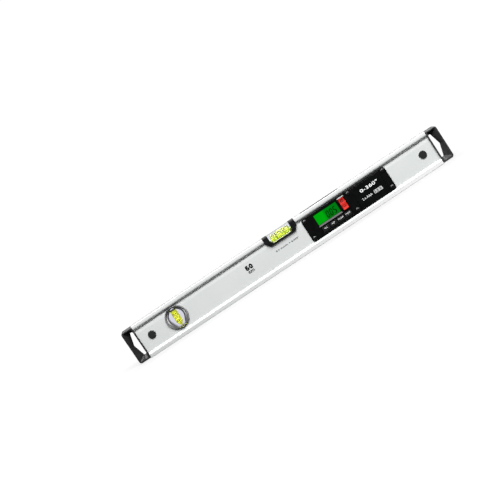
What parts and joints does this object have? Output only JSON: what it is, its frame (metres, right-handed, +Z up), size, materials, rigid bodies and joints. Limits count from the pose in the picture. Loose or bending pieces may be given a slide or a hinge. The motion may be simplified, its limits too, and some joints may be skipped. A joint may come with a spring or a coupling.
{
  "type": "digital spirit level",
  "caption": "Aluminium box spirit level with a horizontal and a plumb vial, a lit digital angle display with keys and a battery lid, and moulded end caps with hand windows.",
  "frame": {"origin": "middle of the bottom measuring face", "axes": "+X along the level to the right end seen from the front, -Y out of the front face, +Z up"},
  "size_m": [0.6, 0.024, 0.06],
  "materials": {
    "silver_aluminium": "satin anodised",
    "cap_black": "fine matt",
    "plug_black": "satin",
    "ring_grey": "satin",
    "carrier_grey": "satin moulded",
    "vial_clear": "polished",
    "vial_liquid": "clear yellow-green liquid",
    "vial_air": "air",
    "line_dark": "printed",
    "seal_dark": "matt",
    "holder_black": "fine matt",
    "bezel_black": "fine texture",
    "screw_black": "black zinc",
    "bush_steel": "zinc plated",
    "lens_clear": "polished",
    "lcd_green": "backlit panel",
    "guide_green": "light guide",
    "rocker_red": "satin",
    "key_grey": "satin silicone",
    "pin_steel": "ground",
    "tub_black": "moulded",
    "board_green": "solder mask",
    "part_black": "moulded",
    "part_white": "moulded",
    "sensor_can": "tinned",
    "mat_grey": "silicone",
    "cell_wrap": "printed sleeve",
    "contact_steel": "nickel plated",
    "lead_red": "wire sleeve",
    "ribbon_tan": "film",
    "frame_black": "satin"
  },
  "bodies": {
    "level": {"profile": "silver_aluminium", "left_end_cap": "cap_black", "right_end_cap": "cap_black", "lock_plugs": "plug_black", "plumb_front_ring": "ring_grey", "plumb_rear_ring": "ring_grey", "plumb_carrier": "carrier_grey", "plumb_vial_tube": "vial_clear", "plumb_vial_plug": "seal_dark", "plumb_vial_fluid": "vial_liquid", "plumb_vial_bubble": "vial_air", "plumb_vial_lines": "line_dark", "vial_holder": "holder_black", "level_vial_block": "vial_clear", "level_vial_plug": "seal_dark", "level_vial_fluid": "vial_liquid", "level_vial_bubble": "vial_air", "level_vial_lines": "line_dark", "front_bezel": "bezel_black", "bezel_screws": "screw_black", "clinch_nuts": "bush_steel", "display_lens": "lens_clear", "front_lcd": "lcd_green", "lcd_light_guide": "guide_green", "rocker_pin": "pin_steel", "display_tub": "tub_black", "main_board": "board_green", "tilt_sensor": "sensor_can", "buzzer": "part_black", "lead_connector": "part_white", "keypad_mat": "mat_grey", "battery_tray": "tub_black", "battery_cells": "cell_wrap", "battery_contacts": "contact_steel", "battery_leads": "lead_red", "top_display_frame": "frame_black", "top_display_lens": "lens_clear", "top_lcd": "lcd_green", "display_ribbon": "ribbon_tan"},
    "rocker": {"rocker_key": "rocker_red"},
    "key_1": {"function_key_1": "key_grey"},
    "key_2": {"function_key_2": "key_grey"},
    "key_3": {"function_key_3": "key_grey"},
    "key_4": {"function_key_4": "key_grey"},
    "lid": {"battery_lid": "bezel_black"}
  },
  "joints": [
    {"name": "rocker_tilt", "type": "hinge", "parent": "level", "child": "rocker", "pos_m": [0.1103, -0.0075, 0.03587], "axis": [1, 0, 0], "range_deg": [-3.5, 3.5], "stiffness_Nm_per_rad": 0.2},
    {"name": "lid_tip", "type": "hinge", "parent": "level", "child": "lid", "pos_m": [0.1304, -0.0103, 0.03], "axis": [0, 0, -1], "range_deg": [0, 75]},
    {"name": "key_1_press", "type": "slide", "parent": "level", "child": "key_1", "axis": [0, 1, 0], "range_m": [0, 0.0008], "stiffness_N_per_m": 300},
    {"name": "key_2_press", "type": "slide", "parent": "level", "child": "key_2", "axis": [0, 1, 0], "range_m": [0, 0.0008], "stiffness_N_per_m": 300},
    {"name": "key_3_press", "type": "slide", "parent": "level", "child": "key_3", "axis": [0, 1, 0], "range_m": [0, 0.0008], "stiffness_N_per_m": 300},
    {"name": "key_4_press", "type": "slide", "parent": "level", "child": "key_4", "axis": [0, 1, 0], "range_m": [0, 0.0008], "stiffness_N_per_m": 300}
  ]
}
